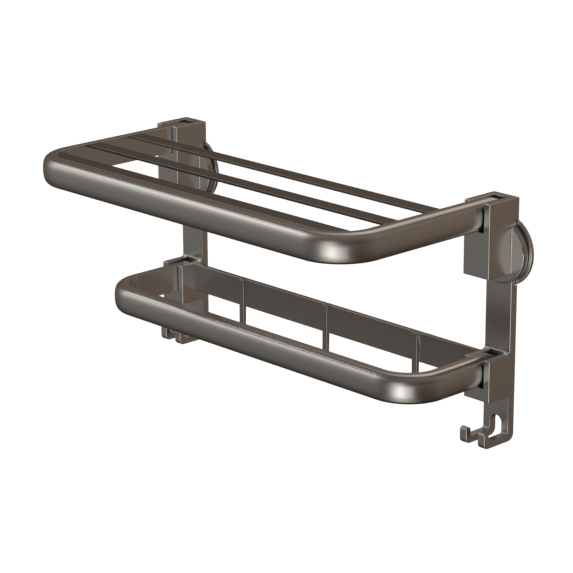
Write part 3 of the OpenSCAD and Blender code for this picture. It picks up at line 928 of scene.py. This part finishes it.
def make_bracket(name, node, side):
    """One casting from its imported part; side is -1 on the left and 1 on the right."""
    def beside_boss(edge):
        return all(abs(abs(v.co.x - side * SPAN_HALF) - BRACKET_HALF) < HAIR
                   and abs(v.co.y - BOSS_FACE) < HAIR for v in edge.verts)

    skin = cleaned_copy(node)
    faces = len(skin.faces)
    print(node, "inward corners filled", fill_corner(skin, BOSS_FILLET, beside_boss))
    count = soften(skin, CAST_EDGE, hidden_in_bracket(side))
    print(node, "faces", faces, "edges softened", count)
    finished(name, mesh_from(skin, name), "frame", cast_satin, (node,))


make_bracket("casting_left", "bracket_left", -1)
make_bracket("casting_right", "bracket_right", 1)

# %% [markdown]
# ## Hook rail
#
# The hooks are cast in one with their rail, which is let into the two lower sockets.
# It is made the same way as the brackets, and the tenons in the sockets keep their edges.

# %% Hook rail
HOOK_EDGE = mm(0.7)
TENON_FROM = mm(189.5)
hook_skin = cleaned_copy("hook_rail")
soften(hook_skin, HOOK_EDGE, lambda point: abs(point.x) > TENON_FROM)
# The hook rail gets the darkened finish, which paints in the towels' shade.
finished("hook_bar", mesh_from(hook_skin, "hook_bar"), "frame",
         hook_satin_painted_shade, ("hook_rail",))

# %% [markdown]
# ## Wall discs and pads
#
# A round disc is screwed to the wall behind each bracket, with a foam pad set into its
# back. The bracket's boss hangs on the disc's spigot. Discs and pads are turned parts:
# half a section is drawn, its corners are rounded, and it is led round the axis.

# %% Turned parts
TO_X_AXIS = Matrix(((0, 1, 0), (1, 0, 0), (0, 0, 1)))


def turned_part(corners, centre, along_x=False):
    """A turned part with its corners (radius, distance, rounding), set at centre."""
    skin = turned(round_corners(corners, 3))
    if along_x:
        bmesh.ops.transform(skin, matrix=TO_X_AXIS.to_4x4(), verts=skin.verts)
        bmesh.ops.recalc_face_normals(skin, faces=skin.faces)
    bmesh.ops.translate(skin, vec=centre, verts=skin.verts)
    return mesh_from(skin, "turned")


print("turning helper is ready")

# %% [markdown]
# A section lists its corners as radius, distance from the wall (towards the room is
# negative) and rounding. The disc has a screw hole, a rim that holds the pad, and a spigot.

# %% Make the discs and pads
DISC_SECTION = [(mm(2.6), 0, 0), (mm(7.9), 0, mm(0.2)), (mm(7.9), -mm(0.8), 0),
                (mm(31.1), -mm(0.8), 0), (mm(31.1), 0, 0), (mm(33), 0, mm(0.3)),
                (mm(33), -mm(3.2), mm(0.8)), (mm(20), -mm(3.2), mm(0.3)),
                (mm(20), -mm(8.4), mm(0.3)), (mm(5.2), -mm(8.4), mm(0.3)),
                (mm(5.2), -mm(4.8), 0), (mm(2.6), -mm(4.8), mm(0.2))]
PAD_SECTION = [(mm(8), 0, mm(0.15)), (mm(31), 0, mm(0.15)), (mm(31), -mm(0.8), mm(0.15)),
               (mm(8), -mm(0.8), mm(0.15))]
for hand, side in (("left", -1), ("right", 1)):
    centre = (side * SPAN_HALF, 0, 0)
    finished(f"fixing_disc_{hand}", turned_part(DISC_SECTION, centre), "frame",
             cast_satin, (f"wall_disc_{hand}",))
    finished(f"foam_pad_{hand}", turned_part(PAD_SECTION, centre), "frame",
             pad_rubber, (f"wall_pad_{hand}",))

# %% [markdown]
# ## Hinge pins and bushes
#
# A sprung steel pin in each end of a rail is pushed out into a nylon bush in the bracket's
# inner cheek, so that metal doesn't turn on metal. The pins ride on their rail and the
# bushes on the frame. One pattern of each is turned, and Geometry Nodes set it at both
# ends of a rail, turned round on the left.

# %% Pattern pin and bush
PIN_CORE = mm(0.05)
PIN_SECTION = [(PIN_CORE, -mm(12.15), 0), (mm(3), -mm(12.15), mm(0.6)),
               (mm(3), -mm(2.7), mm(0.2)), (PIN_CORE, -mm(2.7), 0)]
BUSH_SECTION = [(mm(3.05), -mm(12.35), mm(0.2)), (mm(4.43), -mm(12.35), mm(0.2)),
                (mm(4.43), -mm(7.76), mm(0.2)), (mm(3.05), -mm(7.76), mm(0.3))]
pattern_pin = link(bpy.data.objects.new(
    "pattern_pin", turned_part(PIN_SECTION, (0, 0, 0), along_x=True)))
pattern_bush = link(bpy.data.objects.new(
    "pattern_bush", turned_part(BUSH_SECTION, (0, 0, 0), along_x=True)))
print("pattern pin has", len(pattern_pin.data.polygons), "faces")

# %% The pairs' tree
pair_tree, pair_in = start_tree("hinge_pair", {
    "Half Span": "Float", "Hinge Y": "Float", "Hinge Z": "Float", "Part": "Object",
    "Metal": "Material"})
left_of = minus(pair_tree, pair_in["Half Span"])
order = geo(pair_tree, "InputIndex").outputs[0]
where = geo(pair_tree, "IndexSwitch", {"Index": order}, data_type="VECTOR")
turn = geo(pair_tree, "IndexSwitch", {"Index": order}, data_type="VECTOR")
for k, (x, angle) in enumerate(((pair_in["Half Span"], 0), (left_of, math.pi))):
    spot = point_at(pair_tree, x, pair_in["Hinge Y"], pair_in["Hinge Z"])
    pair_tree.links.new(spot, where.inputs[str(k)])
    turn.inputs[str(k)].default_value = (0, 0, angle)
two = geo(pair_tree, "MeshLine", {"Count": 2})
set_out = geo(pair_tree, "SetPosition", {"Geometry": two.outputs[0],
                                         "Position": where.outputs[0]})
one_part = geo(pair_tree, "ObjectInfo", {"Object": pair_in["Part"]})
pair = geo(pair_tree, "InstanceOnPoints", {"Points": set_out.outputs[0],
                                           "Instance": one_part.outputs["Geometry"],
                                           "Rotation": turn.outputs[0]})
close_tree(pair_tree, pair.outputs[0], pair_in["Metal"])
print("pair tree has", len(pair_tree.nodes), "nodes")

# %% Make the pins and bushes
for tier, body, top in (("shelf", "shelf", SHELF_TOP), ("bar", "towel_bar", BAR_TOP)):
    sizes = {"Half Span": SPAN_HALF, "Hinge Y": HINGE_Y, "Hinge Z": top - HINGE_DROP}
    pins = grow(pair_tree, "pins", {**sizes, "Part": pattern_pin, "Metal": plated})
    finished(f"{tier}_sprung_pins", pins, body, plated, (f"{tier}_hinge_pins",))
    bushes = grow(pair_tree, "bushes", {**sizes, "Part": pattern_bush, "Metal": nylon})
    finished(f"{tier}_bushes", bushes, "frame", nylon, (f"{tier}_hinge_bushes",))
for pattern in (pattern_pin, pattern_bush):
    bpy.data.objects.remove(pattern)

# %% [markdown]
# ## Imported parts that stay
#
# The grub screws that clamp the brackets, and the plugs in the open ends of the rails,
# already have their right shape. They only get a finish.

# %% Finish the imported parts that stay
STAYING = {"disc_grub_screws": plated}
for tier in ("shelf", "bar"):
    for hand in ("left", "right"):
        STAYING[f"{tier}_hinge_plug_{hand}"] = plug_plastic
        STAYING[f"{tier}_end_cap_{hand}"] = cap_plastic
for node, finish in STAYING.items():
    for place in nodes[node].material_slots:
        place.link = "OBJECT"
        place.material = finish
print("packed parts that stay", len(STAYING))
